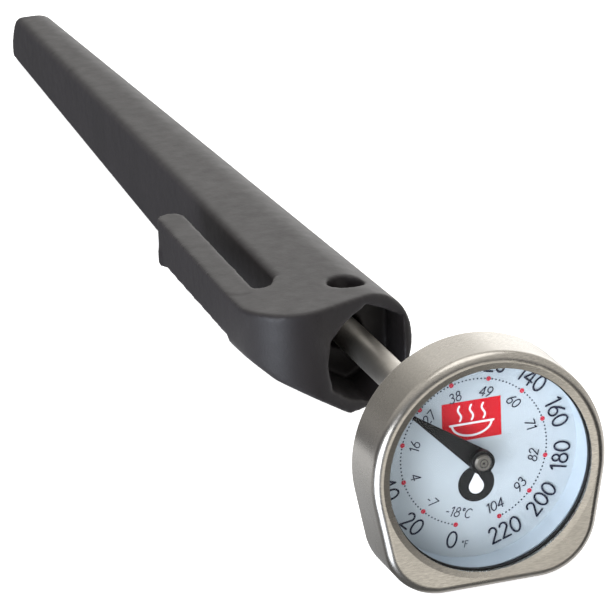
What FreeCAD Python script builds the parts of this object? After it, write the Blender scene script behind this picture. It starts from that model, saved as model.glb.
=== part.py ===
import FreeCAD, Part
import math
import os
import Sketcher

# Pocket bimetal dial thermometer: D-shaped steel head, thin stem, slide-on sheath with pocket clip.
# Frame: dial faces -Y, stem runs along +Y, +Z is up. The origin is the middle of the head's flat foot.

doc = FreeCAD.newDocument("DialThermometer")
sheet = doc.addObject("Spreadsheet::Sheet", "Dim")

DIMENSIONS = [
    # name, value in mm or degrees, note
    ("axis_height", 14.78, "stem axis above the flat foot"),
    ("front_y", -3.9, "front rim of the case"),
    ("back_y", 4.1, "rear rim of the case"),
    ("case_radius", 14.66, "round part of the case outline"),
    ("corner_radius", 7.4, "two lower corners"),
    ("corner_x", 6.0, "corner centre from the middle"),
    ("corner_drop", 7.38, "corner centre below the stem axis"),
    ("case_wall", 0.6, "sheet thickness"),
    ("window_radius", 12.7, "one inch window"),
    ("front_fillet", 1.1, "front edge rounding"),
    ("rear_fillet", 0.5, "rear edge rounding"),
    ("rear_lip", 1.4, "rolled rear lip width"),
    ("plate_thickness", 0.8, "back plate"),
    ("plate_gap", 0.05, "back plate clearance in the case"),
    ("bush_hole", 2.05, "hole radius in the back plate"),
    ("ring_radius", 13.9, "inner parts fit inside this radius"),
    ("gasket_y", -3.2, "gasket front face"),
    ("gasket_thickness", 0.5, "lens gasket"),
    ("gasket_inner", 12.55, "gasket bore radius"),
    ("lens_thickness", 1.1, "glass"),
    ("lens_radius", 13.5, "glass disc"),
    ("ring_bore", 12.95, "retaining ring bore radius"),
    ("dial_y", 1.8, "dial face"),
    ("dial_thickness", 0.4, "dial plate"),
    ("dial_radius", 13.7, "dial plate"),
    ("dial_hole", 1.0, "shaft hole in the dial"),
    ("support_inner", 9.5, "dial support ring bore radius"),
    ("stem_radius", 1.95, "stem outside"),
    ("stem_bore", 1.65, "stem inside"),
    ("stem_end", 131.1, "end of the stem"),
    ("tip_plug", 5.0, "welded tip plug length"),
    ("flange_radius", 5.6, "stem flange inside the case"),
    ("flange_thickness", 0.4, "stem flange"),
    ("washer_thickness", 0.3, "spring friction washer"),
    ("nut_flats", 10.6, "calibration nut across flats"),
    ("nut_length", 12.0, "calibration nut"),
    ("nut_y", 3.9, "front face of the calibration nut"),
    ("shaft_radius", 0.4, "pointer shaft"),
    ("bush_bore", 0.45, "shaft bearings"),
    ("coil_start", 84.0, "front end of the bimetal coil"),
    ("coil_length", 38.0, "bimetal coil"),
    ("coil_radius", 1.15, "mean radius of the coil strip"),
    ("coil_pitch", 2.0, "one turn of the coil"),
    ("strip_width", 1.3, "bimetal strip"),
    ("strip_thickness", 0.25, "bimetal strip"),
    ("hub_radius", 1.5, "pointer hub"),
    ("boss_radius", 1.05, "steel shaft cap"),
    ("pointer_reach", 10.6, "pointer tip from the shaft"),
    ("pointer_tail", 1.7, "pointer behind the shaft"),
    ("pointer_root", 1.42, "half width of the pointer at the hub"),
    ("pointer_tip", 0.22, "half width of the pointer at its tip"),
    ("pointer_sheet", 0.25, "pointer sheet thickness"),
    ("pointer_angle", 113.5, "pointer angle clockwise from 0 F at rest"),
    ("zero_angle", 16.0, "0 F mark clockwise from straight down"),
    ("mouth_y", 31.5, "front end of the sheath barrel blank"),
    ("tip_y", 182.0, "closed end of the sheath"),
    ("mouth_half", 7.6, "half height of the barrel at the mouth"),
    ("mouth_lift", 0.3, "mouth section centre above the stem axis"),
    ("tip_lift", 0.0, "tip section centre above the stem axis"),
    ("tip_half", 3.65, "half height of the barrel at the tip"),
    ("mouth_left", 8.6, "flat side of the barrel at the mouth"),
    ("tip_left", 3.1, "flat side of the barrel at the tip"),
    ("edge_round", 0.8, "rounding of the flat side's edges"),
    ("taper_angle", 1.61, "slope of the sheath's top"),
    ("socket_flats", 11.2, "hex socket across flats"),
    ("socket_floor", 46.6, "floor of the hex socket"),
    ("flare_wide", 6.4, "mouth flare at the barrel's front"),
    ("flare_narrow", 5.6, "mouth flare where it meets the socket"),
    ("flare_length", 9.5, "mouth flare"),
    ("guide_radius", 2.25, "stem hole in the socket floor"),
    ("cavity_front", 51.0, "front of the inner cavity"),
    ("cavity_back", 166.0, "end of the inner cavity"),
    ("cavity_wide", 5.3, "cavity radius at the front"),
    ("cavity_narrow", 2.35, "cavity radius at the end"),
    ("handle_hole", 2.3, "cross hole radius"),
    ("handle_hole_x", -0.5, "cross hole position"),
    ("handle_hole_y", 44.2, "cross hole position"),
    ("handle_hole_foot", 4.0, "lower end of the cross hole above the stem axis, inside the socket"),
    ("front_round", 6.5, "corner of the clip side beside the mouth, seen from above"),
    ("end_round", 1.2, "corners of the closed end, seen from above"),
    ("mouth_middle", -0.4, "centre of the round side at the mouth"),
    ("tip_middle", -0.6, "centre of the round side at the tip"),
    ("nose_radius", 8.5, "rounding of the closed end, seen from the side"),
    ("clip_side", 15.6, "outer face of the clip from the stem axis"),
    ("clip_pivot_x", -13.65, "clip flexure line"),
    ("clip_pivot_y", 46.9, "clip flexure line"),
    ("clip_root", 1.95, "half thickness of the clip at its root"),
    ("clip_end_x", -12.15, "clip free end centre"),
    ("clip_end_y", 77.9, "clip free end centre"),
    ("clip_end", 1.85, "half thickness of the clip at its end"),
    ("clip_bottom", 1.8, "clip underside above the stem axis"),
    ("clip_top", 7.56, "clip top above the stem axis at the flexure"),
    ("bevel_reach", 7.55, "bevel from the stem axis near the mouth"),
    ("bevel_slope", 0.11, "bevel runs out along the barrel"),
    ("clip_gap", 0.06, "clearance of the flexure seat"),
]


def fill_sheet():
    """Write every driving dimension into the sheet with its alias."""
    for row, (name, value, note) in enumerate(DIMENSIONS, start=1):
        sheet.set("A%d" % row, name)
        sheet.set("B%d" % row, str(value))
        sheet.set("C%d" % row, note)
        sheet.setAlias("B%d" % row, name)
    doc.recompute()


def value_of(expression):
    """Evaluate an expression of the sheet's names as a number."""
    return float(sheet.evalExpression(expression))


def bound(expression):
    """The same expression as another object must write it."""
    words = expression
    for name in sorted((row[0] for row in DIMENSIONS), key=len, reverse=True):
        words = replace_word(words, name)
    return words


def replace_word(text, name):
    """Put Dim. in front of each whole-word use of a sheet name."""
    out = ""
    position = 0
    while position < len(text):
        found = text.startswith(name, position)
        before = text[position - 1] if position else " "
        after = text[position + len(name)] if position + len(name) < len(text) else " "
        edge = not (before.isalnum() or before in "_.") and not (after.isalnum() or after == "_")
        if found and edge:
            out += "Dim." + name
            position += len(name)
        else:
            out += text[position]
            position += 1
    return out


def bind(obj, prop, expression):
    """Drive one property from the sheet."""
    obj.setExpression(prop, bound(expression))


def new_body(label):
    """A PartDesign body whose own origin lies on the stem axis."""
    body = doc.addObject("PartDesign::Body", label)
    bind(body, "Placement.Base.z", "axis_height")
    return body


def new_sketch(body, name, plane, offset=None):
    """A sketch on one of the body's own origin planes, optionally moved along its normal."""
    sketch = body.newObject("Sketcher::SketchObject", name)
    support = [f for f in body.Origin.OriginFeatures if f.Role == plane][0]
    sketch.AttachmentSupport = [(support, "")]
    sketch.MapMode = "FlatFace"
    if offset:
        bind(sketch, "AttachmentOffset.Base.z", offset)
    return sketch


def pin(sketch, geometry, point, horizontal, vertical):
    """Fix one sketch point at two sheet expressions."""
    for kind, expression in (("DistanceX", horizontal), ("DistanceY", vertical)):
        number = value_of(expression)
        index = sketch.addConstraint(Sketcher.Constraint(kind, geometry, point, number))
        sketch.setExpression("Constraints[%d]" % index, bound(expression))


def polygon(sketch, corners):
    """A closed polygon whose corners are pairs of sheet expressions."""
    points = [FreeCAD.Vector(value_of(u), value_of(v), 0) for u, v in corners]
    count = len(points)
    for k in range(count):
        sketch.addGeometry(Part.LineSegment(points[k], points[(k + 1) % count]), False)
    for k in range(count):
        sketch.addConstraint(Sketcher.Constraint("Coincident", k, 2, (k + 1) % count, 1))
    for k, (u, v) in enumerate(corners):
        pin(sketch, k, 1, u, v)


def revolve(label, corners):
    """A body turned about the stem axis from (radius, y) corners."""
    body = new_body(label)
    sketch = new_sketch(body, label + "_profile", "XY_Plane")
    polygon(sketch, corners)
    turn = body.newObject("PartDesign::Revolution", label + "_turn")
    turn.Profile = sketch
    turn.ReferenceAxis = (sketch, ["V_Axis"])
    turn.Angle = 360.0
    sketch.Visibility = False
    return body


def ring(label, inner, outer, start, end):
    """A plain ring or disc between two stations on the stem axis."""
    return revolve(label, [(inner, start), (outer, start), (outer, end), (inner, end)])


def arc(cx, cz, radius, start, end):
    """A sketch arc from start to end degrees, counterclockwise."""
    circle = Part.Circle(FreeCAD.Vector(cx, cz, 0), FreeCAD.Vector(0, 0, 1), radius)
    return Part.ArcOfCircle(circle, math.radians(start), math.radians(end))


def d_outline(sketch, inset):
    """The head's D: a big circle, two corner circles and the lines that touch them."""
    big = value_of("case_radius - (%s)" % inset)
    small = value_of("corner_radius - (%s)" % inset)
    cx = value_of("corner_x")
    cz = value_of("corner_drop")
    reach = math.hypot(cx, cz)
    lean = math.degrees(math.asin((big - small) / reach))
    side = math.degrees(math.atan2(-cz, cx)) + 90.0 - lean
    def at(x, z, radius, angle):
        a = math.radians(angle)
        return FreeCAD.Vector(x + radius * math.cos(a), z + radius * math.sin(a), 0)
    sketch.addGeometry(arc(0, 0, big, side, 180.0 - side), False)
    sketch.addGeometry(Part.LineSegment(at(0, 0, big, 180 - side), at(-cx, -cz, small, 180 - side)), False)
    sketch.addGeometry(arc(-cx, -cz, small, 180.0 - side, 270.0), False)
    sketch.addGeometry(Part.LineSegment(at(-cx, -cz, small, 270), at(cx, -cz, small, 270)), False)
    sketch.addGeometry(arc(cx, -cz, small, 270.0, 360.0 + side), False)
    sketch.addGeometry(Part.LineSegment(at(cx, -cz, small, side), at(0, 0, big, side)), False)
    joints = [(0, 2, 1, 1), (1, 2, 2, 1), (2, 2, 3, 1), (3, 2, 4, 1), (4, 2, 5, 1), (5, 2, 0, 1)]
    for first, end, second, start in joints:
        sketch.addConstraint(Sketcher.Constraint("Tangent", first, end, second, start))
    sketch.addConstraint(Sketcher.Constraint("Coincident", 0, 3, -1, 1))
    rounds = ((0, "case_radius", big), (2, "corner_radius", small), (4, "corner_radius", small))
    for geometry, name, number in rounds:
        index = sketch.addConstraint(Sketcher.Constraint("Radius", geometry, number))
        sketch.setExpression("Constraints[%d]" % index, bound("%s - (%s)" % (name, inset)))
    pin(sketch, 2, 3, "-corner_x", "-corner_drop")
    pin(sketch, 4, 3, "corner_x", "-corner_drop")


def pad_back(body, name, sketch, length):
    """Pad a sketch of the XZ plane towards +Y."""
    pad = body.newObject("PartDesign::Pad", name)
    pad.Profile = sketch
    pad.Reversed = True
    bind(pad, "Length", length)
    sketch.Visibility = False
    return pad


def pocket_back(body, name, sketch, length):
    """Cut a sketch of the XZ plane towards +Y."""
    pocket = body.newObject("PartDesign::Pocket", name)
    pocket.Profile = sketch
    pocket.Reversed = False
    bind(pocket, "Length", length)
    sketch.Visibility = False
    return pocket


def circle(sketch, radius):
    """A circle on the stem axis."""
    outline = Part.Circle(FreeCAD.Vector(0, 0, 0), FreeCAD.Vector(0, 0, 1), value_of(radius))
    sketch.addGeometry(outline, False)
    sketch.addConstraint(Sketcher.Constraint("Coincident", 0, 3, -1, 1))
    index = sketch.addConstraint(Sketcher.Constraint("Radius", 0, value_of(radius)))
    sketch.setExpression("Constraints[%d]" % index, bound(radius))


def edges_at(feature, y, smallest):
    """Names of the edges that lie wholly in the plane y and belong to the outline."""
    names = []
    for number, edge in enumerate(feature.Shape.Edges, start=1):
        box = edge.BoundBox
        flat = abs(box.YMin - y) < 1e-4 and abs(box.YMax - y) < 1e-4
        reach = max(abs(box.XMin), abs(box.XMax), abs(box.ZMin), abs(box.ZMax))
        if flat and reach > smallest:
            names.append("Edge%d" % number)
    return names


def case_shell():
    """The drawn steel case: front flange with its round window, side wall and rolled rear lip."""
    body = new_body("case_shell")
    outline = new_sketch(body, "case_outline", "XZ_Plane", "-front_y")
    d_outline(outline, "0")
    pad = pad_back(body, "case_blank", outline, "back_y - front_y")
    doc.recompute()
    front = body.newObject("PartDesign::Fillet", "case_front_round")
    front.Base = (pad, edges_at(pad, value_of("front_y"), 6.0))
    bind(front, "Radius", "front_fillet")
    doc.recompute()
    rear = body.newObject("PartDesign::Fillet", "case_rear_round")
    rear.Base = (front, edges_at(front, value_of("back_y"), 6.0))
    bind(rear, "Radius", "rear_fillet")
    doc.recompute()
    cavity = new_sketch(body, "case_cavity_outline", "XZ_Plane", "-(front_y + case_wall)")
    d_outline(cavity, "case_wall")
    pocket_back(body, "case_cavity", cavity, "back_y - front_y - 2 * case_wall")
    window = new_sketch(body, "case_window_circle", "XZ_Plane", "-(front_y - 1)")
    circle(window, "window_radius")
    pocket_back(body, "case_window", window, "case_wall + 2")
    opening = new_sketch(body, "case_rear_outline", "XZ_Plane", "-(back_y - 2 * case_wall)")
    d_outline(opening, "case_wall + rear_lip")
    pocket_back(body, "case_rear_opening", opening, "case_wall * 4")
    profile = new_sketch(body, "case_dish_profile", "XY_Plane")
    dish_edge = "case_radius - front_fillet - 0.1"
    polygon(profile, [("window_radius - 1", "front_y - 0.1"), (dish_edge, "front_y - 0.1"),
                      (dish_edge, "front_y"), ("window_radius - 1", "front_y + 0.25")])
    groove = body.newObject("PartDesign::Groove", "case_dish")
    groove.Profile = profile
    groove.ReferenceAxis = (profile, ["V_Axis"])
    groove.Angle = 360.0
    return body


def back_plate():
    """The D-shaped plate that the rear lip holds; the stem's flange sits in its hole."""
    body = new_body("back_plate")
    outline = new_sketch(body, "plate_outline", "XZ_Plane", "-(back_y - case_wall - plate_thickness)")
    d_outline(outline, "case_wall + plate_gap")
    pad_back(body, "plate_blank", outline, "plate_thickness")
    hole = new_sketch(body, "plate_hole", "XZ_Plane", "-(back_y - 4)")
    circle(hole, "bush_hole")
    pocket_back(body, "plate_bore", hole, "8")
    return body


def thin_parts():
    """Turned rings and discs inside the case."""
    lens_y = "gasket_y + gasket_thickness"
    ring_y = "gasket_y + gasket_thickness + lens_thickness"
    ring("lens_gasket", "gasket_inner", "ring_radius", "gasket_y", lens_y)
    ring("lens", "0", "lens_radius", lens_y, ring_y)
    ring("retaining_ring", "ring_bore", "ring_radius", ring_y, "dial_y")
    ring("dial_plate", "dial_hole", "dial_radius", "dial_y", "dial_y + dial_thickness")
    plate_front = "back_y - case_wall - plate_thickness"
    ring("dial_support", "support_inner", "dial_radius", "dial_y + dial_thickness", plate_front)
    plate_back = "back_y - case_wall"
    ring("friction_washer", "bush_hole", "bush_hole + 2.4", plate_back, plate_back + " + washer_thickness")


def stem_parts():
    """The stem with what is fixed to it: flange, bearings, coil, plug and calibration nut."""
    front = "dial_y + dial_thickness + 0.06"
    flange_back = "back_y - case_wall - plate_thickness - 0.02"
    revolve("stem_tube", [("stem_bore", front), ("stem_radius", front),
                          ("stem_radius", "stem_end - tip_plug"), ("stem_bore", "stem_end - tip_plug")])
    ring("stem_flange", "stem_radius", "flange_radius", flange_back + " - flange_thickness", flange_back)
    revolve("stem_tip", [("0", "stem_end - tip_plug - 2"), ("stem_bore", "stem_end - tip_plug - 2"),
                         ("stem_bore", "stem_end - tip_plug"), ("stem_radius", "stem_end - tip_plug"),
                         ("stem_radius", "stem_end - 0.9"), ("stem_radius - 0.5", "stem_end - 0.2"),
                         ("stem_radius - 1.1", "stem_end"), ("0", "stem_end")])
    ring("upper_bushing", "bush_bore", "stem_bore", front, front + " + 2")
    ring("lower_bushing", "bush_bore", "stem_bore", "coil_start - 5", "coil_start - 3")
    ring("coil_anchor", "0", "stem_bore", "coil_start + coil_length - 0.1", "stem_end - tip_plug - 2")
    calibration_nut()
    bimetal_coil()


def calibration_nut():
    """Hexagon with two upright flats, brazed on the stem behind the case."""
    body = new_body("calibration_nut")
    sketch = new_sketch(body, "nut_outline", "XZ_Plane", "-nut_y")
    hexagon(sketch, "nut_flats")
    pad_back(body, "nut_blank", sketch, "nut_length")
    bore = new_sketch(body, "nut_bore_circle", "XZ_Plane", "-(nut_y - 1)")
    circle(bore, "stem_radius")
    pocket_back(body, "nut_bore", bore, "nut_length + 2")
    chamfer = new_sketch(body, "nut_chamfer_profile", "XY_Plane")
    reach = "nut_flats / 2"
    polygon(chamfer, [(reach, "nut_y + nut_length + 0.01"), (reach + " + 2", "nut_y + nut_length + 0.01"),
                      (reach + " + 2", "nut_y + nut_length - 1.1")])
    groove = body.newObject("PartDesign::Groove", "nut_chamfer")
    groove.Profile = chamfer
    groove.ReferenceAxis = (chamfer, ["V_Axis"])
    groove.Angle = 360.0
    chamfer.Visibility = False


def hexagon(sketch, flats):
    """A hexagon on the stem axis, flats to the left and right."""
    half = "(%s) / 2" % flats
    side = "(%s) / 2 / sqrt(3)" % flats
    tip = "(%s) / sqrt(3)" % flats
    polygon(sketch, [(half, "-(%s)" % side), (half, side), ("0", tip), ("-(%s)" % half, side),
                     ("-(%s)" % half, "-(%s)" % side), ("0", "-(%s)" % tip)])


def bimetal_coil():
    """The flat strip wound in a helix, held at its far end and turning the shaft at its near end."""
    body = new_body("bimetal_coil")
    sketch = new_sketch(body, "coil_strip", "XY_Plane")
    near = "coil_radius - strip_thickness / 2"
    far = "coil_radius + strip_thickness / 2"
    polygon(sketch, [(near, "coil_start"), (far, "coil_start"), (far, "coil_start + strip_width"),
                     (near, "coil_start + strip_width")])
    helix = body.newObject("PartDesign::AdditiveHelix", "coil_helix")
    helix.Profile = sketch
    helix.ReferenceAxis = (sketch, ["V_Axis"])
    helix.Mode = 0
    bind(helix, "Pitch", "coil_pitch")
    bind(helix, "Height", "coil_length - strip_width")
    sketch.Visibility = False


def pointer_parts():
    """Pointer, hub, shaft and the collar that the coil turns."""
    blade = new_body("pointer_blade")
    blade.Placement.Rotation = FreeCAD.Rotation(FreeCAD.Vector(0, 1, 0), 1.0)
    bind(blade, "Placement.Rotation.Angle", "pointer_angle + zero_angle")
    sketch = new_sketch(blade, "blade_outline", "XZ_Plane", "-(dial_y - 2)")
    polygon(sketch, [("-pointer_root", "0"), ("-pointer_root * 0.55", "pointer_tail"),
                     ("pointer_root * 0.55", "pointer_tail"), ("pointer_root", "0"),
                     ("pointer_tip", "-pointer_reach"), ("-pointer_tip", "-pointer_reach")])
    pad_back(blade, "blade_sheet", sketch, "pointer_sheet")
    hole = new_sketch(blade, "blade_hole", "XZ_Plane", "-(dial_y - 3)")
    circle(hole, "shaft_radius")
    pocket_back(blade, "blade_bore", hole, "2")
    ring("pointer_hub", "shaft_radius", "hub_radius", "dial_y - 2.75", "dial_y - 2")
    revolve("pointer_cap", [("shaft_radius", "dial_y - 2.75"), ("boss_radius", "dial_y - 2.75"),
                            ("boss_radius", "dial_y - 2.85"), ("boss_radius - 0.2", "dial_y - 3.05"),
                            ("shaft_radius", "dial_y - 3.05")])
    ring("pointer_shaft", "0", "shaft_radius", "dial_y - 3.05", "coil_start - 0.6")
    ring("coil_collar", "0", "coil_radius + strip_thickness / 2", "coil_start - 0.6", "coil_start")


def barrel():
    """The sheath's blank: flat on the clip side, round on the other, tapering to the closed end."""
    body = new_body("sheath_barrel")
    front = new_sketch(body, "barrel_mouth", "XZ_Plane", "-mouth_y")
    section(front, "mouth_left", "mouth_half", "mouth_middle", "mouth_lift")
    rear = new_sketch(body, "barrel_tip", "XZ_Plane", "-tip_y")
    section(rear, "tip_left", "tip_half", "tip_middle", "tip_lift")
    doc.recompute()
    loft = body.newObject("PartDesign::AdditiveLoft", "barrel_loft")
    loft.Profile = front
    loft.Sections = [rear]
    loft.Ruled = True
    return body


def section(sketch, left, half, middle, lift):
    """One station of the barrel: three flats with rounded edges and a half round."""
    flat = -value_of(left)
    edge = value_of("edge_round")
    cx = value_of(middle)
    cz = value_of(lift)
    top = cz + value_of(half)
    low = cz - value_of(half)

    def line(x1, z1, x2, z2):
        return Part.LineSegment(FreeCAD.Vector(x1, z1, 0), FreeCAD.Vector(x2, z2, 0))

    sketch.addGeometry(arc(cx, cz, value_of(half), -90.0, 90.0), False)
    sketch.addGeometry(line(cx, top, flat + edge, top), False)
    sketch.addGeometry(arc(flat + edge, top - edge, edge, 90.0, 180.0), False)
    sketch.addGeometry(line(flat, top - edge, flat, low + edge), False)
    sketch.addGeometry(arc(flat + edge, low + edge, edge, 180.0, 270.0), False)
    sketch.addGeometry(line(flat + edge, low, cx, low), False)
    for first in range(6):
        sketch.addConstraint(Sketcher.Constraint("Tangent", first, 2, (first + 1) % 6, 1))
    pin(sketch, 0, 3, middle, lift)
    for geometry, name in ((0, half), (2, "edge_round"), (4, "edge_round")):
        index = sketch.addConstraint(Sketcher.Constraint("Radius", geometry, value_of(name)))
        sketch.setExpression("Constraints[%d]" % index, bound(name))
    index = sketch.addConstraint(Sketcher.Constraint("DistanceX", 3, 1, flat))
    sketch.setExpression("Constraints[%d]" % index, bound("-(%s)" % left))


def clip_root_block():
    """The thick corner beside the mouth that carries the clip, level with the barrel's sloping top."""
    body = doc.addObject("PartDesign::Body", "clip_root_block")
    bind(body, "Placement.Base.z", "axis_height + mouth_lift + mouth_half")
    bind(body, "Placement.Base.y", "mouth_y")
    body.Placement.Rotation = FreeCAD.Rotation(FreeCAD.Vector(1, 0, 0), -1.0)
    bind(body, "Placement.Rotation.Angle", "taper_angle")
    body.Placement.Rotation.Axis = FreeCAD.Vector(-1, 0, 0)
    sketch = new_sketch(body, "root_outline", "XZ_Plane", "2")
    shelf = "clip_bottom - mouth_half - mouth_lift"
    polygon(sketch, [("-0.5", "0"), ("-clip_side - 1", "0"), ("-clip_side - 1", shelf),
                     ("-clip_side", shelf), ("-clip_side + 5.3", "-mouth_half - 3.2"),
                     ("-5.0", "-mouth_half - 6.6"),
                     ("-0.5", "-mouth_half - 7.1")])
    pad_back(body, "root_blank", sketch, "clip_pivot_y - mouth_y + 5")
    return body


def sheath_plan():
    """Outline of the whole sheath seen from above, which trims the blanks."""
    body = new_body("sheath_plan")
    sketch = new_sketch(body, "plan_outline", "XY_Plane", "-15")
    polygon(sketch, [("-clip_side", "clip_pivot_y"), ("-clip_side", "mouth_y"), ("8.5", "mouth_y + 9.8"),
                     ("8.5", "tip_y"), ("-tip_left - 0.3", "tip_y"),
                     ("-mouth_left + 0.4", "clip_pivot_y + 2.6"), ("-9.3", "clip_pivot_y + 0.5"),
                     ("-10.4", "clip_pivot_y - 0.1"), ("-11.5", "clip_pivot_y - 0.1")])
    pad = body.newObject("PartDesign::Pad", "plan_blank")
    pad.Profile = sketch
    pad.Length = 30.0
    sketch.Visibility = False
    return body


def along_stem(label, kind, front, properties, x="0"):
    """A Part primitive whose axis runs along the stem from the station front."""
    solid = doc.addObject(kind, label)
    solid.Placement.Rotation = FreeCAD.Rotation(FreeCAD.Vector(-1, 0, 0), 90.0)
    bind(solid, "Placement.Base.x", x)
    bind(solid, "Placement.Base.y", front)
    bind(solid, "Placement.Base.z", "axis_height")
    for name, expression in properties:
        bind(solid, name, expression)
    return solid


def hex_socket():
    """The hexagonal mouth socket that fits over the calibration nut."""
    sizes = [("Circumradius", "socket_flats / sqrt(3)"), ("Height", "socket_floor - mouth_y + 5")]
    socket = along_stem("hex_socket", "Part::Prism", "mouth_y - 5", sizes)
    socket.Polygon = 6
    corner_up = FreeCAD.Rotation(FreeCAD.Vector(0, 0, 1), 30.0)
    socket.Placement.Rotation = FreeCAD.Rotation(FreeCAD.Vector(-1, 0, 0), 90.0).multiply(corner_up)
    bind(socket, "Placement.Base.y", "mouth_y - 5")
    bind(socket, "Placement.Base.z", "axis_height")
    return socket


def mouth_bevel():
    """The cut that rounds the barrel's lower clip-side edge towards the mouth."""
    box = doc.addObject("Part::Box", "mouth_bevel")
    box.Length = 80.0
    box.Width = 80.0
    box.Height = 20.0
    outward = FreeCAD.Vector(-0.541, -value_of("bevel_slope"), -0.841)
    turn = FreeCAD.Rotation(FreeCAD.Vector(0, 0, 1), outward)
    touch = FreeCAD.Vector(-0.541, 0, -0.841) * value_of("bevel_reach")
    touch = touch + FreeCAD.Vector(0, value_of("mouth_y + 4"), value_of("axis_height"))
    box.Placement = FreeCAD.Placement(touch - turn.multVec(FreeCAD.Vector(40, 40, 0)), turn)
    return box


def nose():
    """A blank rounded at the closed end, seen from the side."""
    box = doc.addObject("Part::Box", "nose_block")
    box.Length = 60.0
    box.Width = 200.0
    box.Height = 60.0
    bind(box, "Placement.Base.x", "-30")
    bind(box, "Placement.Base.y", "tip_y - nose_radius - 200")
    bind(box, "Placement.Base.z", "axis_height - 30")
    round_end = doc.addObject("Part::Cylinder", "nose_round")
    round_end.Placement.Rotation = FreeCAD.Rotation(FreeCAD.Vector(0, 1, 0), 90.0)
    round_end.Height = 60.0
    bind(round_end, "Radius", "nose_radius")
    bind(round_end, "Placement.Base.x", "-30")
    bind(round_end, "Placement.Base.y", "tip_y - nose_radius")
    bind(round_end, "Placement.Base.z", "axis_height - 3.5")
    joined = doc.addObject("Part::Fuse", "nose_blank")
    joined.Base = box
    joined.Tool = round_end
    return joined


def upright(label, radius, x, y, foot, height):
    """A cylinder standing up from a foot that is measured from the stem axis."""
    solid = doc.addObject("Part::Cylinder", label)
    bind(solid, "Radius", radius)
    bind(solid, "Height", height)
    bind(solid, "Placement.Base.x", x)
    bind(solid, "Placement.Base.y", y)
    bind(solid, "Placement.Base.z", "axis_height + (%s)" % foot)
    return solid


def rounded_plan(plan):
    """Round the plan's front corner on the clip side and the two corners of the closed end."""
    pad = plan.Tip
    doc.recompute()
    corners = [("-clip_side", "mouth_y", "front_round"), ("-tip_left - 0.3", "tip_y", "end_round"),
               ("8.5", "tip_y", "end_round")]
    base = pad
    for k, (x, y, radius) in enumerate(corners):
        names = []
        for number, edge in enumerate(base.Shape.Edges, start=1):
            box = edge.BoundBox
            near = abs(box.XMin - value_of(x)) < 0.01 and abs(box.YMin - value_of(y)) < 0.01
            if near and box.ZLength > 20:
                names.append("Edge%d" % number)
        fillet = plan.newObject("PartDesign::Fillet", "plan_round_%d" % (k + 1))
        fillet.Base = (base, names)
        bind(fillet, "Radius", radius)
        doc.recompute()
        base = fillet
    return plan


def sheath_body():
    """The moulded sheath: barrel, clip root, hex mouth, stem guide, cavity and cross hole."""
    blanks = doc.addObject("Part::Fuse", "sheath_blanks")
    blanks.Base = barrel()
    blanks.Tool = clip_root_block()
    planned = doc.addObject("Part::Common", "sheath_planned")
    planned.Base = blanks
    planned.Tool = rounded_plan(sheath_plan())
    nosed = doc.addObject("Part::Common", "sheath_nosed")
    nosed.Base = planned
    nosed.Tool = nose()
    guide = along_stem("stem_guide", "Part::Cylinder", "socket_floor - 1",
                       [("Radius", "guide_radius"), ("Height", "cavity_front - socket_floor + 2")])
    cavity = along_stem("stem_cavity", "Part::Cone", "cavity_front",
                        [("Radius1", "cavity_wide"), ("Radius2", "cavity_narrow"),
                         ("Height", "cavity_back - cavity_front")])
    seat = doc.addObject("Part::Cylinder", "clip_seat")
    bind(seat, "Radius", "clip_root + clip_gap")
    seat.Height = 40.0
    seat.Placement.Rotation = FreeCAD.Rotation(FreeCAD.Vector(-1, 0, 0), value_of("taper_angle"))
    bind(seat, "Placement.Base.x", "clip_pivot_x")
    bind(seat, "Placement.Base.y", "clip_pivot_y - 20 * sin(taper_angle)")
    bind(seat, "Placement.Base.z", "axis_height - 20 * cos(taper_angle)")
    flare = along_stem("mouth_flare", "Part::Cone", "mouth_y",
                       [("Radius1", "flare_wide"), ("Radius2", "flare_narrow"), ("Height", "flare_length")])
    cross = upright("handle_bore", "handle_hole", "handle_hole_x", "handle_hole_y", "handle_hole_foot", "20")
    tools = doc.addObject("Part::MultiFuse", "sheath_hollows")
    tools.Shapes = [hex_socket(), flare, guide, cavity, cross, seat, mouth_bevel()]
    sheath = doc.addObject("Part::Cut", "sheath_body")
    sheath.Base = nosed
    sheath.Tool = tools
    return sheath


def pocket_clip():
    """The clip arm: a tapering link seen from above, with a small foot at its free end."""
    body = doc.addObject("PartDesign::Body", "pocket_clip")
    body.Placement.Rotation = FreeCAD.Rotation(FreeCAD.Vector(-1, 0, 0), value_of("taper_angle"))
    bind(body, "Placement.Base.x", "clip_pivot_x")
    bind(body, "Placement.Base.y", "clip_pivot_y")
    bind(body, "Placement.Base.z", "axis_height")
    link = new_sketch(body, "clip_outline", "XY_Plane", "clip_bottom")
    link_outline(link)
    pad = body.newObject("PartDesign::Pad", "clip_blank")
    pad.Profile = link
    bind(pad, "Length", "clip_top - clip_bottom")
    link.Visibility = False
    foot = new_sketch(body, "clip_foot_circle", "XY_Plane", "clip_bottom - 0.5")
    foot.addGeometry(Part.Circle(FreeCAD.Vector(1.75, 30.6, 0), FreeCAD.Vector(0, 0, 1), 2.05), False)
    pin(foot, 0, 3, "clip_end_x - clip_pivot_x", "clip_end_y - clip_pivot_y - 0.4")
    index = foot.addConstraint(Sketcher.Constraint("Radius", 0, value_of("clip_end + 0.25")))
    foot.setExpression("Constraints[%d]" % index, bound("clip_end + 0.25"))
    step = body.newObject("PartDesign::Pad", "clip_foot")
    step.Profile = foot
    step.Length = 2.2
    foot.Visibility = False
    return body


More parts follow.
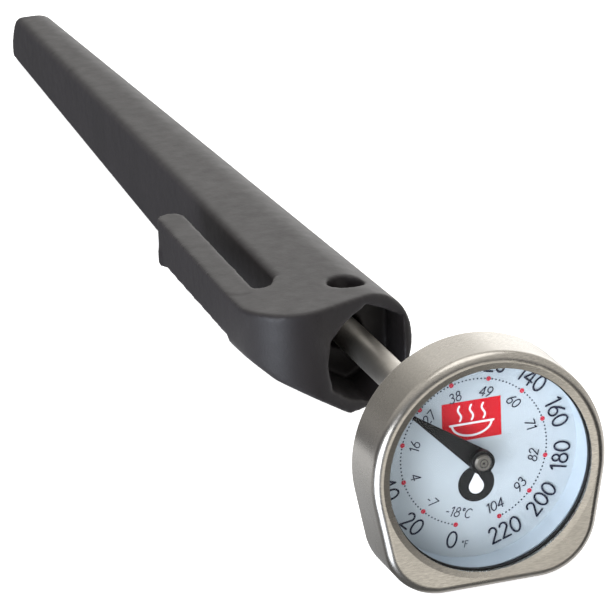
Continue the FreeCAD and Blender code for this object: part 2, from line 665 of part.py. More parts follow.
def link_outline(sketch):
    """Two arcs and the lines that touch them: the root at the origin, the free end along +Y."""
    root = value_of("clip_root")
    end = value_of("clip_end")
    cx = value_of("clip_end_x - clip_pivot_x")
    cy = value_of("clip_end_y - clip_pivot_y")
    reach = math.hypot(cx, cy)
    aim = math.degrees(math.atan2(cy, cx))
    lean = math.degrees(math.acos((root - end) / reach))
    def at(x, y, radius, angle):
        a = math.radians(angle)
        return FreeCAD.Vector(x + radius * math.cos(a), y + radius * math.sin(a), 0)
    sketch.addGeometry(arc(0, 0, root, aim + lean, aim - lean + 360.0), False)
    sketch.addGeometry(Part.LineSegment(at(0, 0, root, aim - lean), at(cx, cy, end, aim - lean)), False)
    sketch.addGeometry(arc(cx, cy, end, aim - lean, aim + lean), False)
    sketch.addGeometry(Part.LineSegment(at(cx, cy, end, aim + lean), at(0, 0, root, aim + lean)), False)
    for first in range(4):
        sketch.addConstraint(Sketcher.Constraint("Tangent", first, 2, (first + 1) % 4, 1))
    sketch.addConstraint(Sketcher.Constraint("Coincident", 0, 3, -1, 1))
    pin(sketch, 2, 3, "clip_end_x - clip_pivot_x", "clip_end_y - clip_pivot_y")
    for geometry, name in ((0, "clip_root"), (2, "clip_end")):
        index = sketch.addConstraint(Sketcher.Constraint("Radius", geometry, value_of(name)))
        sketch.setExpression("Constraints[%d]" % index, bound(name))


NODES = ["stem_tube", "stem_flange", "stem_tip", "upper_bushing", "lower_bushing", "bimetal_coil",
         "coil_anchor", "calibration_nut", "case_shell", "back_plate", "lens_gasket", "lens",
         "retaining_ring", "dial_plate", "dial_support", "friction_washer", "pointer_blade",
         "pointer_hub", "pointer_cap", "pointer_shaft", "coil_collar", "sheath_body", "pocket_clip"]


def check_document():
    """Stop if any object failed or any sub-part isn't one valid solid."""
    for obj in doc.Objects:
        if "Invalid" in obj.State or "Error" in obj.State:
            raise RuntimeError("failed: %s %s" % (obj.Name, obj.State))
    for name in NODES:
        shape = doc.getObject(name).Shape
        if shape.isNull() or not shape.isValid() or len(shape.Solids) != 1:
            raise RuntimeError("bad shape: %s" % name)


def export_nodes():
    """Write one STEP file for each node."""
    os.makedirs("parts", exist_ok=True)
    for name in NODES:
        doc.getObject(name).Shape.exportStep("parts/%s.step" % name)


fill_sheet()
case_shell()
back_plate()
thin_parts()
stem_parts()
pointer_parts()
sheath_body()
pocket_clip()
doc.recompute()
check_document()
export_nodes()
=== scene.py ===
"""Dial thermometer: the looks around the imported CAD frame.

Metres. The stem runs along +Y, the dial faces -Y, and the head's flat foot stands at the origin.
"""

import math

import bmesh
import bpy
from mathutils import Euler, Matrix, Vector


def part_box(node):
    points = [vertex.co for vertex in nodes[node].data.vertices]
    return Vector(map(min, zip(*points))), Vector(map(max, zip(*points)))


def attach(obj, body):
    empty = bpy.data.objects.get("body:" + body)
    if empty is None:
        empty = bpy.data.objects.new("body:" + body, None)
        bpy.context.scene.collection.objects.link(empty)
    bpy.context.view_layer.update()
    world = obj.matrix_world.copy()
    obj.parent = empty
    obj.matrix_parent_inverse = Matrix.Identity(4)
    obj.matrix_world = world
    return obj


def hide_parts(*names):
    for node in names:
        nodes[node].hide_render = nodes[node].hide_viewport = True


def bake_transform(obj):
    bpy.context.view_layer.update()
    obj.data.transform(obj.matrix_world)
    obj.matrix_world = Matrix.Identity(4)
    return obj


MM = 0.001
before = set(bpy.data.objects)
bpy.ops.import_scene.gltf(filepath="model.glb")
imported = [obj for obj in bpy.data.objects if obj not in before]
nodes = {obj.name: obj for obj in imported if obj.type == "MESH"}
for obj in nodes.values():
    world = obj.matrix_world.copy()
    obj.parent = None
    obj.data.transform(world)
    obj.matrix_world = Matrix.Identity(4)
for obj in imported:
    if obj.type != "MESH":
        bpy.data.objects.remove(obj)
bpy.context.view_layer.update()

# ---------------------------------------------------------------- places, from the frame
stem_low, stem_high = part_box("stem_tube")
AXIS_Z = (stem_low.z + stem_high.z) / 2
DIAL_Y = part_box("dial_plate")[0].y
CLIP_LOW, CLIP_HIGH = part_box("pocket_clip")
HEEL_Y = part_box("case_shell")[1].y
HEAD = (0.0, 0.0, AXIS_Z)
MIDDLE = (0.0, 0.08, AXIS_Z)

# ---------------------------------------------------------------- camera and light settings
CAMERA_AT = Vector((-0.20859, -0.55207, 0.25769))
CAMERA_RIGHT = Vector((0.94157, -0.33484, -0.03653))
CAMERA_UP = Vector((0.15066, 0.32168, 0.93478))
CAMERA_BACK = Vector((-0.30125, -0.88567, 0.35333))
LENS_MM = 318.87
SENSOR_MM = 36.0
FLOOR_SLOPE = math.radians(3.5)
FLOOR_HALF = 12.0
FLOOR_GLOW = 0.8
GLOW_X = (-0.09, -0.004)
GLOW_Y = (0.003, 0.071)
GLOW_LIFT = 0.0002
GLOW_FADE_Y = (0.005, 0.055)
GLOW_LEVELS = (0.3, 1.0)
# Dark flags and bright cards in the room around the object, as directions in which the room is darker or
# brighter: direction, outer and inner cosine, level, and a card's tint.
FLAGS = (((0.74, -0.60, -0.44), 0.88, 0.97, 0.3), ((-0.40, 0.87, 0.28), 0.96, 0.99, 0.45))
CARDS = (((-0.80, -0.50, -0.32), 0.86, 0.94, 5.4, (0.80, 0.87, 1.0)),
         ((0.17, -0.925, -0.31), 0.935, 0.985, 1.4, (1.0, 0.97, 0.90)),
         ((0.58, 0.80, 0.08), 0.90, 0.98, 1.0, (1.0, 1.0, 1.0)),
         ((0.60, 0.30, -0.74), 0.75, 0.93, 0.7, (1.0, 1.0, 1.0)),
         ((0.92, 0.05, -0.38), 0.90, 0.97, 0.5, (1.0, 1.0, 1.0)))
# The room's own tone, from its darkest side to its brightest, which lies towards ROOM_TOWARDS.
ROOM_TOWARDS = (0.40, 0.30, 0.87)
ROOM_TONE = ((0.20, (0.16, 0.16, 0.16)), (0.44, (0.13, 0.13, 0.14)),
             (0.62, (0.55, 0.54, 0.53)), (0.78, (0.80, 0.785, 0.755)))

# ---------------------------------------------------------------- the printed scale, in mm on the dial
PRINT_CENTRE = (-0.1, 0.36)
ZERO_ANGLE = 16.0
MARK_STEP = 29.55
MARK_RADIUS = 9.21
F_RADIUS = 11.12
C_RADIUS = 7.62
F_HEIGHT = 2.05
C_HEIGHT = 1.2
F_STROKE = 0.255
C_STROKE = 0.145
C_SLANT = 0.18
MARK_SIZE = 0.3
DOT_SIZE = 0.11
DOTS_PER_STEP = 10
PRINT_LIFT = 0.02
MARK_LIFT = 1.6 * PRINT_LIFT
ICON_LIFT = 1.8 * PRINT_LIFT
LABEL_LEFT = -3.98
LABEL_RIGHT = 3.46
LABEL_LOW = 2.0
LABEL_TOP = 6.96
DISC_AT = (0.1, -3.66)
DISC_RADIUS = 2.3
STEAM_OFFSETS = (-1.5, 0.0, 1.5)
STEAM_FOOT = LABEL_LOW + 2.55
STEAM_TOP = LABEL_TOP - 0.55
STEAM_STROKE = 0.24
BOWL_RIM = LABEL_LOW + 2.1
BOWL_RADIUS = 2.5
BOWL_DEPTH = 1.55
BOWL_OVERHANG = 0.25
BOWL_STROKE = 0.26
DROP_RADIUS = 0.95
DROP_BELOW = 0.35
DROP_TIP = 1.55
# The rivet's painted shade: a dark ring round its edge and a dark spot for the shade in its dimple.
RIVET_RADIUS = 0.5
RIVET_SHADE_STROKE = 0.1
DIMPLE_SHADE_RADIUS = 0.18
FAHRENHEIT = ("0", "20", "40", "60", "80", "100", "120", "140", "160", "180", "200", "220")
CELSIUS = ("-18oC", "-7", "4", "16", "27", "38", "49", "60", "71", "82", "93", "104")


# ---------------------------------------------------------------- scene tools
def add_object(name, data):
    """A new object in the scene."""
    obj = bpy.data.objects.new(name, data)
    bpy.context.scene.collection.objects.link(obj)
    return obj


def flat_sheet(name, corners, mat):
    """A flat sheet with these corners and this material."""
    mesh = bmesh.new()
    for corner in corners:
        mesh.verts.new(corner)
    mesh.faces.new(mesh.verts)
    data = bpy.data.meshes.new(name)
    mesh.to_mesh(data)
    mesh.free()
    data.materials.append(mat)
    return add_object(name, data)


def floor_height(y):
    """The tilted floor's height at y."""
    return (y - HEEL_Y) * math.tan(FLOOR_SLOPE)


# ---------------------------------------------------------------- material tools
def new_material(name):
    """An empty node material: (material, nodes, links, Principled shader)."""
    mat = bpy.data.materials.new(name)
    mat.use_nodes = True
    tree = mat.node_tree
    tree.nodes.clear()
    out = tree.nodes.new("ShaderNodeOutputMaterial")
    bsdf = tree.nodes.new("ShaderNodeBsdfPrincipled")
    tree.links.new(bsdf.outputs["BSDF"], out.inputs["Surface"])
    return mat, tree.nodes, tree.links, bsdf


def coordinates(tree_nodes, links, stretch=(1, 1, 1)):
    """Object coordinates in metres, times stretch on each axis."""
    where = tree_nodes.new("ShaderNodeTexCoord")
    scaled = tree_nodes.new("ShaderNodeMapping")
    scaled.inputs["Scale"].default_value = stretch
    links.new(where.outputs["Object"], scaled.inputs["Vector"])
    return scaled.outputs["Vector"]


def noise(tree_nodes, links, vector, scale=1.0, detail=3.0, roughness=0.6):
    """A noise texture's factor."""
    texture = tree_nodes.new("ShaderNodeTexNoise")
    texture.inputs["Scale"].default_value = scale
    texture.inputs["Detail"].default_value = detail
    texture.inputs["Roughness"].default_value = roughness
    links.new(vector, texture.inputs["Vector"])
    return texture.outputs["Fac"]


def ramp(tree_nodes, links, factor, stops):
    """A colour ramp over factor; stops are (position, colour)."""
    node = tree_nodes.new("ShaderNodeValToRGB")
    elements = node.color_ramp.elements
    while len(elements) < len(stops):
        elements.new(0.5)
    for element, (position, colour) in zip(elements, stops):
        element.position = position
        element.color = (*colour, 1.0)
    links.new(factor, node.inputs["Fac"])
    return node.outputs["Color"]


def spread(tree_nodes, links, factor, low, high):
    """Maps a factor from 0..1 to low..high."""
    node = tree_nodes.new("ShaderNodeMapRange")
    node.inputs["To Min"].default_value = low
    node.inputs["To Max"].default_value = high
    links.new(factor, node.inputs["Value"])
    return node.outputs["Result"]


def bump(tree_nodes, links, height, depth, strength, after=None):
    """A bump of the given depth in metres, on top of another normal if one is given."""
    node = tree_nodes.new("ShaderNodeBump")
    node.inputs["Distance"].default_value = depth
    node.inputs["Strength"].default_value = strength
    links.new(height, node.inputs["Height"])
    if after is not None:
        links.new(after, node.inputs["Normal"])
    return node.outputs["Normal"]


def tinted(colour, gain):
    """A colour times gain."""
    return tuple(min(1.0, c * gain) for c in colour)


def flecked(tree_nodes, links, factor, colour, fleck):
    """A colour that varies by fleck to either side."""
    stops = [(0.3, tinted(colour, 1 - fleck)), (0.7, tinted(colour, 1 + fleck))]
    return ramp(tree_nodes, links, factor, stops)


def steel(name, colour, gloss, grain, grain_depth, wear=0.12):
    """Ground or turned steel: fine scratches along the axis with the smallest grain number."""
    mat, n, l, bsdf = new_material(name)
    bsdf.inputs["Metallic"].default_value = 1.0
    lines = noise(n, l, coordinates(n, l, grain), detail=2.0, roughness=0.5)
    clouds = noise(n, l, coordinates(n, l, (160, 160, 160)), detail=4.0)
    worn = [(0.25, tinted(colour, 1 - wear)), (0.75, tinted(colour, 1 + wear / 2))]
    shade = ramp(n, l, lines, worn)
    l.new(shade, bsdf.inputs["Base Color"])
    l.new(spread(n, l, clouds, gloss - 0.07, gloss + 0.09), bsdf.inputs["Roughness"])
    l.new(bump(n, l, lines, grain_depth, 0.6), bsdf.inputs["Normal"])
    return mat


def moulded(name, colour, gloss, grain_scale, grain_depth, fleck=0.15, sheen=0.0):
    """Moulded plastic or rubber with a fine spark-eroded grain and slight polishing here and there."""
    mat, n, l, bsdf = new_material(name)
    bsdf.inputs["Specular IOR Level"].default_value = 0.42
    bsdf.inputs["Sheen Weight"].default_value = sheen
    bsdf.inputs["Sheen Roughness"].default_value = 0.45
    where = coordinates(n, l)
    grain = noise(n, l, where, scale=grain_scale, detail=2.0, roughness=0.7)
    peel = noise(n, l, where, scale=grain_scale / 6, detail=3.0)
    soft = noise(n, l, where, scale=grain_scale / 40, detail=4.0)
    l.new(flecked(n, l, soft, colour, fleck), bsdf.inputs["Base Color"])
    l.new(spread(n, l, peel, gloss - 0.1, gloss + 0.1), bsdf.inputs["Roughness"])
    uneven = bump(n, l, peel, grain_depth * 1.5, 0.6)
    l.new(bump(n, l, grain, grain_depth, 0.55, uneven), bsdf.inputs["Normal"])
    return mat


def printed(name, colour, gloss=0.45, fleck=0.06):
    """Screen-printed or sprayed colour with a slight orange peel."""
    mat, n, l, bsdf = new_material(name)
    bsdf.inputs["Specular IOR Level"].default_value = 0.12
    where = coordinates(n, l)
    peel = noise(n, l, where, scale=2600, detail=2.0)
    soft = noise(n, l, where, scale=260, detail=3.0)
    l.new(flecked(n, l, soft, colour, fleck), bsdf.inputs["Base Color"])
    l.new(spread(n, l, peel, gloss - 0.05, gloss + 0.05), bsdf.inputs["Roughness"])
    l.new(bump(n, l, peel, 4e-6, 0.35), bsdf.inputs["Normal"])
    return mat


def clear_window(name):
    """A clear window that lets lamps through, with faint smears in its gloss."""
    mat, n, l, bsdf = new_material(name)
    bsdf.inputs["Base Color"].default_value = (0.96, 0.98, 1.0, 1.0)
    bsdf.inputs["Transmission Weight"].default_value = 1.0
    bsdf.inputs["IOR"].default_value = 1.13
    smear = noise(n, l, coordinates(n, l, (120, 120, 120)), detail=3.0)
    l.new(spread(n, l, smear, 0.0, 0.035), bsdf.inputs["Roughness"])
    clear = n.new("ShaderNodeBsdfTransparent")
    path = n.new("ShaderNodeLightPath")
    mix = n.new("ShaderNodeMixShader")
    out = next(node for node in n if node.type == "OUTPUT_MATERIAL")
    l.new(path.outputs["Is Shadow Ray"], mix.inputs["Fac"])
    l.new(bsdf.outputs["BSDF"], mix.inputs[1])
    l.new(clear.outputs["BSDF"], mix.inputs[2])
    l.new(mix.outputs["Shader"], out.inputs["Surface"])
    return mat


def finish_node(name, mat):
    """Gives a CAD node its material."""
    slots = nodes[name].data.materials
    slots.clear()
    slots.append(mat)


# ---------------------------------------------------------------- flat print on the dial
def sweep(cx, cz, rx, rz, start, end, steps=18):
    """Points of an elliptic arc, degrees counter-clockwise from +x."""
    turn = [math.radians(start + (end - start) * k / steps) for k in range(steps + 1)]
    return [(cx + rx * math.cos(t), cz + rz * math.sin(t)) for t in turn]


# Each glyph: (width, strokes), one unit tall.
GLYPHS = {
    "0": (0.60, [sweep(0.30, 0.50, 0.28, 0.48, 90, 450, 28)]),
    "1": (0.34, [[(0.06, 0.84), (0.25, 0.99), (0.25, 0.0)]]),
    "2": (0.56, [sweep(0.27, 0.74, 0.22, 0.24, 165, -30) + [(0.03, 0.02), (0.54, 0.02)]]),
    "3": (0.54, [sweep(0.24, 0.76, 0.20, 0.22, 150, -90),
                 sweep(0.24, 0.27, 0.26, 0.27, 90, -150)]),
    "4": (0.62, [[(0.45, 0.0), (0.45, 0.98), (0.02, 0.28), (0.60, 0.28)]]),
    "6": (0.58, [sweep(0.29, 0.29, 0.26, 0.28, 150, 510, 26),
                 [(0.47, 0.99), (0.22, 0.72), (0.07, 0.45)]]),
    "7": (0.54, [[(0.02, 0.96), (0.53, 0.96), (0.16, 0.0)]]),
    "8": (0.58, [sweep(0.29, 0.75, 0.19, 0.22, 90, 450, 24),
                 sweep(0.29, 0.27, 0.26, 0.26, 90, 450, 26)]),
    "9": (0.58, [sweep(0.29, 0.70, 0.26, 0.28, -30, 330, 26),
                 [(0.11, 0.0), (0.36, 0.27), (0.51, 0.54)]]),
    "-": (0.34, [[(0.05, 0.42), (0.30, 0.42)]]),
    "o": (0.30, [sweep(0.14, 0.84, 0.10, 0.13, 90, 450, 14)]),
    "C": (0.62, [sweep(0.36, 0.50, 0.33, 0.48, 50, 310, 22)]),
    "F": (0.50, [[(0.08, 0.0), (0.08, 0.98), (0.48, 0.98)], [(0.08, 0.52), (0.42, 0.52)]]),
}
GLYPH_GAP = 0.13


class Sheet:
    """Flat print just before the dial or another face.

    x runs to the right and z up, both from the stem's axis, in mm.
    """

    def __init__(self, lift, behind=DIAL_Y):
        self.mesh = bmesh.new()
        self.y = behind - lift * MM
        self.step = 1e-7

    def face(self, points):
        """One flat face, a hair above the last one, so that no two share a plane."""
        self.y -= self.step
        made = [self.mesh.verts.new((x * MM, self.y, AXIS_Z + z * MM)) for x, z in points]
        self.mesh.faces.new(made)

    def spot(self, x, z, radius, steps=14):
        """A filled disc."""
        self.face(sweep(x, z, radius, radius, 0, 360 - 360 / steps, steps - 1))

    def stroke(self, points, width):
        """A line of even width with round ends and corners."""
        for (x1, z1), (x2, z2) in zip(points, points[1:]):
            run = math.hypot(x2 - x1, z2 - z1)
            if run < 1e-6:
                continue
            ax = -(z2 - z1) / run * width / 2
            az = (x2 - x1) / run * width / 2
            self.face([(x1 - ax, z1 - az), (x2 - ax, z2 - az),
                       (x2 + ax, z2 + az), (x1 + ax, z1 + az)])
        for x, z in points:
            self.spot(x, z, width / 2, 8)

    def text(self, word, x, z, turn, height, width, slant=0.0):
        """A word centred at x, z, its baseline turned by turn degrees."""
        total = sum(GLYPHS[c][0] for c in word) + GLYPH_GAP * (len(word) - 1)
        cosine = math.cos(math.radians(turn))
        sine = math.sin(math.radians(turn))
        cursor = -total / 2
        for c in word:
            for line in GLYPHS[c][1]:
                placed = []
                for u, v in line:
                    across = (cursor + u + slant * (v - 0.5)) * height
                    above = (v - 0.5) * height
                    placed.append((x + across * cosine - above * sine,
                                   z + across * sine + above * cosine))
                self.stroke(placed, width)
            cursor += GLYPHS[c][0] + GLYPH_GAP

    def piece(self, name, mat, body="head", slot="dial_paint"):
        """The finished mesh, riding on a body."""
        data = bpy.data.meshes.new(name)
        self.mesh.normal_update()
        for face in self.mesh.faces:
            if face.normal.y > 0:
                face.normal_flip()
        self.mesh.to_mesh(data)
        self.mesh.free()
        data.materials.append(mat)
        obj = add_object(name, data)
        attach(obj, body)


def mark_angle(index):
    """Angle of a numbered mark, clockwise from straight down, in degrees."""
    return ZERO_ANGLE + MARK_STEP * index


def on_dial(angle, radius):
    """A place on the printed scale."""
    turn = math.radians(angle)
    return PRINT_CENTRE[0] - radius * math.sin(turn), PRINT_CENTRE[1] - radius * math.cos(turn)


def reading_turn(angle):
    """The baseline's turn: numerals below the middle stand on the rim, those above it on the hub."""
    lower = angle < 90 or angle > 270
    return -angle if lower else 180 - angle


def print_scale(ink, light_ink, red):
    """Numerals, the ring of fine dots, and the red marks."""
    numerals = Sheet(PRINT_LIFT)
    small = Sheet(PRINT_LIFT)
    fine = Sheet(PRINT_LIFT)
    marks = Sheet(MARK_LIFT)
    for k, (hot, mild) in enumerate(zip(FAHRENHEIT, CELSIUS)):
        angle = mark_angle(k)
        x, z = on_dial(angle, F_RADIUS)
        numerals.text(hot, x, z, reading_turn(angle), F_HEIGHT, F_STROKE)
        x, z = on_dial(angle, C_RADIUS)
        small.text(mild, x, z, reading_turn(angle), C_HEIGHT, C_STROKE, C_SLANT)
        marks.spot(*on_dial(angle, MARK_RADIUS), MARK_SIZE, 20)
    x, z = on_dial(mark_angle(0) - 8.5, F_RADIUS + 0.45)
    small.text("oF", x, z, reading_turn(0) - 8, 0.85, 0.1, slant=0.1)
    for k in range((len(FAHRENHEIT) - 1) * DOTS_PER_STEP):
        if k % DOTS_PER_STEP:
            fine.spot(*on_dial(mark_angle(k / DOTS_PER_STEP), MARK_RADIUS), DOT_SIZE, 8)
    numerals.piece("numerals_f", ink)
    small.piece("numerals_c", light_ink)
    fine.piece("scale_dots", ink)
    marks.piece("scale_marks", red)


def wave(x, low, high, sway, steps=18):
    """A rising wavy line."""
    return [(x + sway * math.sin(2 * math.pi * k / steps), low + (high - low) * k / steps)
            for k in range(steps + 1)]


def print_badges(red, dark, white):
    """A red patch with a steaming bowl and a dark spot with a drop: plain stand-ins for printed marks."""
    patch = Sheet(PRINT_LIFT)
    patch.face([(LABEL_LEFT, LABEL_LOW), (LABEL_RIGHT, LABEL_LOW),
                (LABEL_RIGHT, LABEL_TOP), (LABEL_LEFT, LABEL_TOP)])
    patch.piece("red_patch", red)
    spot = Sheet(PRINT_LIFT)
    spot.spot(*DISC_AT, DISC_RADIUS, 48)
    spot.piece("dark_spot", dark)
    icon = Sheet(ICON_LIFT)
    middle = (LABEL_LEFT + LABEL_RIGHT) / 2
    for offset in STEAM_OFFSETS:
        icon.stroke(wave(middle + offset, STEAM_FOOT, STEAM_TOP, 0.2), STEAM_STROKE)
    icon.stroke(sweep(middle, BOWL_RIM, BOWL_RADIUS, BOWL_DEPTH, 180, 360, 24), BOWL_STROKE)
    rim = BOWL_RADIUS + BOWL_OVERHANG
    icon.stroke([(middle - rim, BOWL_RIM), (middle + rim, BOWL_RIM)], BOWL_STROKE)
    x, z = DISC_AT
    drop = sweep(x, z - DROP_BELOW, DROP_RADIUS, DROP_RADIUS, -205, 25, 22)
    icon.face(drop + [(x, z + DROP_TIP)])
    icon.piece("badge_marks", white)


def paint_rivet_shade(dark):
    """The riveted end of the shaft in the middle of the pointer's boss, drawn flat in dark paint: a ring
    of painted shade round the rivet's edge and a spot of painted shade for its dimple.
    """
    rivet = Sheet(PRINT_LIFT, behind=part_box("pointer_cap")[0].y)
    # Painted shade: flat dark marks stand in for the shadow round the rivet's edge and in its dimple.
    rivet.stroke(sweep(0, 0, RIVET_RADIUS, RIVET_RADIUS, 0, 360, 28), RIVET_SHADE_STROKE)
    rivet.spot(0, 0, DIMPLE_SHADE_RADIUS, 16)
    rivet.piece("rivet_painted_shade", dark, "pointer", "cap_steel")


# ---------------------------------------------------------------- the moulded sheath
VOXEL = 0.00024
SOFTEN_STEPS = 18
GRID_TURN = Euler((0.53, 0.41, 0.67)).to_matrix().to_4x4()
ARM_MARGIN = 0.5 * MM
ARM_ROOT_Y = CLIP_LOW.y + 2.4 * MM
SLOT_X = CLIP_HIGH.x + 0.9 * MM
SLOT_TAPER = 0.064
SLOT_TAPER_Y = 0.0779


def joined_copy(names):
    """One mesh object holding copies of these CAD nodes."""
    whole = bmesh.new()
    for name in names:
        whole.from_mesh(nodes[name].data)
    bmesh.ops.remove_doubles(whole, verts=whole.verts, dist=1e-6)
    data = bpy.data.meshes.new("moulding")
    whole.to_mesh(data)
    whole.free()
    return add_object("moulding", data)


def applied(obj):
    """The object's mesh with its modifiers applied."""
    graph = bpy.context.evaluated_depsgraph_get()
    return bpy.data.meshes.new_from_object(obj.evaluated_get(graph))


def soft_moulding():
    """Sheath and clip as one moulding with softly rounded edges.

    The voxel grid is turned so that no edge runs nearly along it, which would leave long steps.
    """
    obj = joined_copy(["sheath_body", "pocket_clip"])
    obj.data.transform(GRID_TURN)
    remesh = obj.modifiers.new("skin", "REMESH")
    remesh.mode = "VOXEL"
    remesh.voxel_size = VOXEL
    remesh.use_smooth_shade = True
    soften = obj.modifiers.new("soften", "SMOOTH")
    soften.factor = 0.5
    soften.iterations = SOFTEN_STEPS
    data = applied(obj)
    data.transform(GRID_TURN.inverted())
    for vertex in data.vertices:
        vertex.co.x = max(vertex.co.x, CLIP_LOW.x)
    bpy.data.objects.remove(obj)
    return data


def on_arm(place):
    """True for a place on the clip's free arm: past the arm's root and on the far side of the slot."""
    slot_x = SLOT_X - SLOT_TAPER * max(0.0, place.y - SLOT_TAPER_Y)
    past_root = ARM_ROOT_Y < place.y < CLIP_HIGH.y + ARM_MARGIN
    return past_root and place.x < slot_x and place.z > CLIP_LOW.z - ARM_MARGIN


def split_clip(data):
    """Cuts the moulding into the sheath and the free arm of the clip, in a plane across the arm."""
    parts = []
    for name, keep_arm in (("sheath_skin", False), ("clip_arm", True)):
        mesh = bmesh.new()
        mesh.from_mesh(data)
        drop = [face for face in mesh.faces if on_arm(face.calc_center_median()) != keep_arm]
        bmesh.ops.delete(mesh, geom=drop, context="FACES")
        part = bpy.data.meshes.new(name)
        mesh.to_mesh(part)
        mesh.free()
        parts.append(part)
    return parts


def show_moulding(mat):
    """Puts the moulding's two parts in the places of the CAD's sheath and clip."""
    skin, arm = split_clip(soft_moulding())
    for name, data, replaced in (("sheath_skin", skin, "sheath_body"), ("clip_arm", arm, "pocket_clip")):
        piece = add_object(name, data)
        data.materials.clear()
        data.materials.append(mat)
        if name == "clip_arm":
            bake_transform(piece)
        else:
            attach(piece, "sheath")
        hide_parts(replaced)


# ---------------------------------------------------------------- build the looks
case_steel = steel("case_steel", (0.46, 0.435, 0.395), 0.26, (1400, 7000, 7000), 4.5e-6, wear=0.2)
stem_steel = steel("stem_steel", (0.60, 0.57, 0.52), 0.42, (500, 9000, 500), 9e-6)
nut_steel = steel("nut_steel", (0.55, 0.53, 0.5), 0.34, (1500, 9000, 1500), 4e-6)
cap_steel = steel("cap_steel", (0.14, 0.13, 0.115), 0.42, (6000, 900, 6000), 5e-6)
ring_white = moulded("ring_white", (0.40, 0.46, 0.51), 0.45, 2400, 4e-6, fleck=0.02)
washer_steel = steel("washer_steel", (0.5, 0.5, 0.5), 0.3, (3000, 3000, 3000), 3e-6)
brass = steel("bearing_brass", (0.68, 0.5, 0.24), 0.28, (3000, 9000, 3000), 3e-6)
strip = steel("bimetal", (0.5, 0.44, 0.36), 0.34, (2500, 9000, 2500), 3e-6)
sheath_plastic = moulded("sheath_plastic", (0.0175, 0.015, 0.016), 0.5, 3200, 2.6e-5, sheen=0.02)
gasket_rubber = moulded("gasket", (0.012, 0.012, 0.012), 0.5, 3000, 1e-5)
support_plastic = moulded("support_plastic", (0.05, 0.05, 0.05), 0.5, 3000, 1e-5)
dial_paint = printed("dial_paint", (0.385, 0.427, 0.453), 0.5, 0.02)
pointer_paint = printed("pointer_paint", (0.004, 0.004, 0.004), 0.42, 0.1)
ink = printed("scale_ink", (0.018, 0.02, 0.035))
light_ink = printed("scale_ink_light", (0.028, 0.03, 0.045))
mark_red = printed("mark_red", (0.42, 0.03, 0.05))
patch_red = printed("patch_red", (0.46, 0.008, 0.015))
spot_black = printed("spot_black", (0.009, 0.009, 0.009))
badge_white = printed("badge_white", (0.66, 0.66, 0.67))
window = clear_window("window")

FINISHES = {
    case_steel: ["case_shell", "back_plate"],
    stem_steel: ["stem_tube", "stem_tip", "stem_flange"],
    nut_steel: ["calibration_nut"],
    cap_steel: ["pointer_cap", "pointer_shaft"],
    ring_white: ["retaining_ring"],
    washer_steel: ["friction_washer"],
    brass: ["upper_bushing", "lower_bushing", "coil_collar", "coil_anchor"],
    strip: ["bimetal_coil"],
    sheath_plastic: ["sheath_body", "pocket_clip"],
    gasket_rubber: ["lens_gasket"],
    support_plastic: ["dial_support"],
    dial_paint: ["dial_plate"],
    pointer_paint: ["pointer_blade", "pointer_hub"],
    window: ["lens"],
}
for mat, names in FINISHES.items():
    for name in names:
        finish_node(name, mat)

print_scale(ink, light_ink, mark_red)
print_badges(patch_red, spot_black, badge_white)
paint_rivet_shade(pointer_paint)

show_moulding(sheath_plastic)


# ---------------------------------------------------------------- studio
def studio_floor():
    """A pale sheet tilted so that the head's flat and the sheath's tip both rest on it.

    It is hidden from reflections, bounced light and shadows.
    """
    mat, n, l, bsdf = new_material("floor_paper")
    paper = noise(n, l, coordinates(n, l, (300, 300, 300)), detail=2.0)
    pale = ramp(n, l, paper, [(0.3, (0.86, 0.86, 0.86)), (0.7, (0.9, 0.9, 0.9))])
    l.new(pale, bsdf.inputs["Base Color"])
    bsdf.inputs["Roughness"].default_value = 0.9
    bsdf.inputs["Emission Color"].default_value = (1.0, 1.0, 1.0, 1.0)
    bsdf.inputs["Emission Strength"].default_value = FLOOR_GLOW
    corners = [(x * FLOOR_HALF, y * FLOOR_HALF, floor_height(y * FLOOR_HALF))
               for x, y in ((-1, -1), (1, -1), (1, 1), (-1, 1))]
    floor = flat_sheet("floor", corners, mat)
    floor.visible_glossy = False
    floor.visible_diffuse = False
    floor.visible_shadow = False


def paper_glow():
    """Lit paper beside the head, seen only in reflections on the head's side wall."""
    mat, n, l, bsdf = new_material("paper_glow")
    bsdf.inputs["Base Color"].default_value = (0.0, 0.0, 0.0, 1.0)
    bsdf.inputs["Emission Color"].default_value = (0.95, 0.97, 1.0, 1.0)
    split = n.new("ShaderNodeSeparateXYZ")
    l.new(coordinates(n, l), split.inputs["Vector"])
    away = n.new("ShaderNodeMapRange")
    away.inputs["From Min"].default_value = GLOW_FADE_Y[0]
    away.inputs["From Max"].default_value = GLOW_FADE_Y[1]
    away.inputs["To Min"].default_value = GLOW_LEVELS[0]
    away.inputs["To Max"].default_value = GLOW_LEVELS[1]
    l.new(split.outputs["Y"], away.inputs["Value"])
    l.new(away.outputs["Result"], bsdf.inputs["Emission Strength"])
    left, right = GLOW_X
    near, far = GLOW_Y
    corners = [(x, y, GLOW_LIFT + y * math.tan(FLOOR_SLOPE))
               for x, y in ((left, near), (right, near), (right, far), (left, far))]
    glow = flat_sheet("paper_glow", corners, mat)
    glow.visible_camera = False
    glow.visible_diffuse = False
    glow.visible_shadow = False


def softbox(name, at, aim, width, height, power, tint=(1.0, 1.0, 1.0)):
    """A rectangular soft lamp at a place, aimed at a point."""
    lamp = bpy.data.lights.new(name, "AREA")
    lamp.shape = "RECTANGLE"
    lamp.size = width
    lamp.size_y = height
    lamp.energy = power
    lamp.color = tint
    obj = add_object(name, lamp)
    obj.location = at
    obj.rotation_mode = "QUATERNION"
    obj.rotation_quaternion = (Vector(aim) - Vector(at)).to_track_quat("-Z", "Y")
    return obj


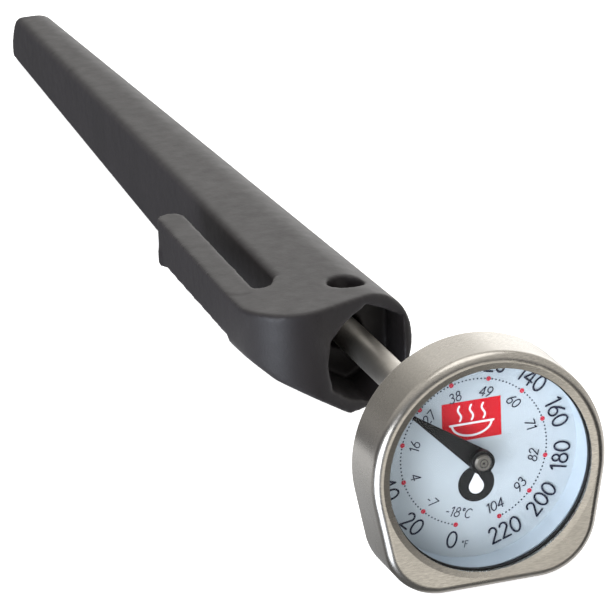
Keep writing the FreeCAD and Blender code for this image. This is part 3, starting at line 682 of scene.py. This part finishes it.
def towards(tree_nodes, links, direction, aim, near, far, away=0.0, level=1.0):
    """Away to level as a direction turns towards aim, between the cosines near and far."""
    dot = tree_nodes.new("ShaderNodeVectorMath")
    dot.operation = "DOT_PRODUCT"
    dot.inputs[1].default_value = Vector(aim).normalized()
    links.new(direction, dot.inputs[0])
    node = tree_nodes.new("ShaderNodeMapRange")
    node.inputs["From Min"].default_value = near
    node.inputs["From Max"].default_value = far
    node.inputs["To Min"].default_value = away
    node.inputs["To Max"].default_value = level
    node.interpolation_type = "SMOOTHSTEP"
    links.new(dot.outputs["Value"], node.inputs["Value"])
    return node.outputs["Result"]


def surroundings():
    """A soft room, bright above and dark below, with the dark flags and the bright cards in it."""
    world = bpy.data.worlds.new("room")
    bpy.context.scene.world = world
    world.use_nodes = True
    n = world.node_tree.nodes
    l = world.node_tree.links
    n.clear()
    out = n.new("ShaderNodeOutputWorld")
    back = n.new("ShaderNodeBackground")
    where = n.new("ShaderNodeTexCoord")
    room = towards(n, l, where.outputs["Generated"], ROOM_TOWARDS, -1.0, 1.0)
    l.new(ramp(n, l, room, ROOM_TONE), back.inputs["Color"])
    shade = n.new("ShaderNodeMath")
    shade.operation = "MULTIPLY"
    for socket, (aim, near, far, level) in enumerate(FLAGS):
        flag = towards(n, l, where.outputs["Generated"], aim, near, far, 1.0, level)
        l.new(flag, shade.inputs[socket])
    l.new(shade.outputs["Value"], back.inputs["Strength"])
    whole = back.outputs["Background"]
    for aim, near, far, level, tint in CARDS:
        card = n.new("ShaderNodeBackground")
        card.inputs["Color"].default_value = (*tint, 1.0)
        bright = towards(n, l, where.outputs["Generated"], aim, near, far, 0.0, level)
        l.new(bright, card.inputs["Strength"])
        both = n.new("ShaderNodeAddShader")
        l.new(whole, both.inputs[0])
        l.new(card.outputs["Background"], both.inputs[1])
        whole = both.outputs["Shader"]
    l.new(whole, out.inputs["Surface"])


def camera():
    """The photographer's place and lens."""
    data = bpy.data.cameras.new("camera")
    data.lens = LENS_MM
    data.sensor_width = SENSOR_MM
    data.clip_start = 0.01
    data.clip_end = 10.0
    obj = add_object("camera", data)
    turn = Matrix((CAMERA_RIGHT, CAMERA_UP, CAMERA_BACK)).transposed()
    obj.matrix_world = Matrix.Translation(CAMERA_AT) @ turn.to_4x4()
    bpy.context.scene.camera = obj


studio_floor()
paper_glow()
surroundings()
softbox("back_box", (0.25, 0.75, 0.42), MIDDLE, 0.7, 0.4, 0.4)
softbox("top_box", (0.05, 0.05, 0.75), MIDDLE, 0.6, 0.6, 1.9)
softbox("left_box", (-0.42, -0.30, 0.03), HEAD, 0.3, 0.2, 1.0, (0.92, 0.96, 1.0))
fill_box = softbox("fill_box", (-0.42, -0.40, 0.30), HEAD, 0.2, 0.2, 1.3)
fill_box.visible_glossy = False
camera()
bpy.context.scene.view_settings.view_transform = "Standard"
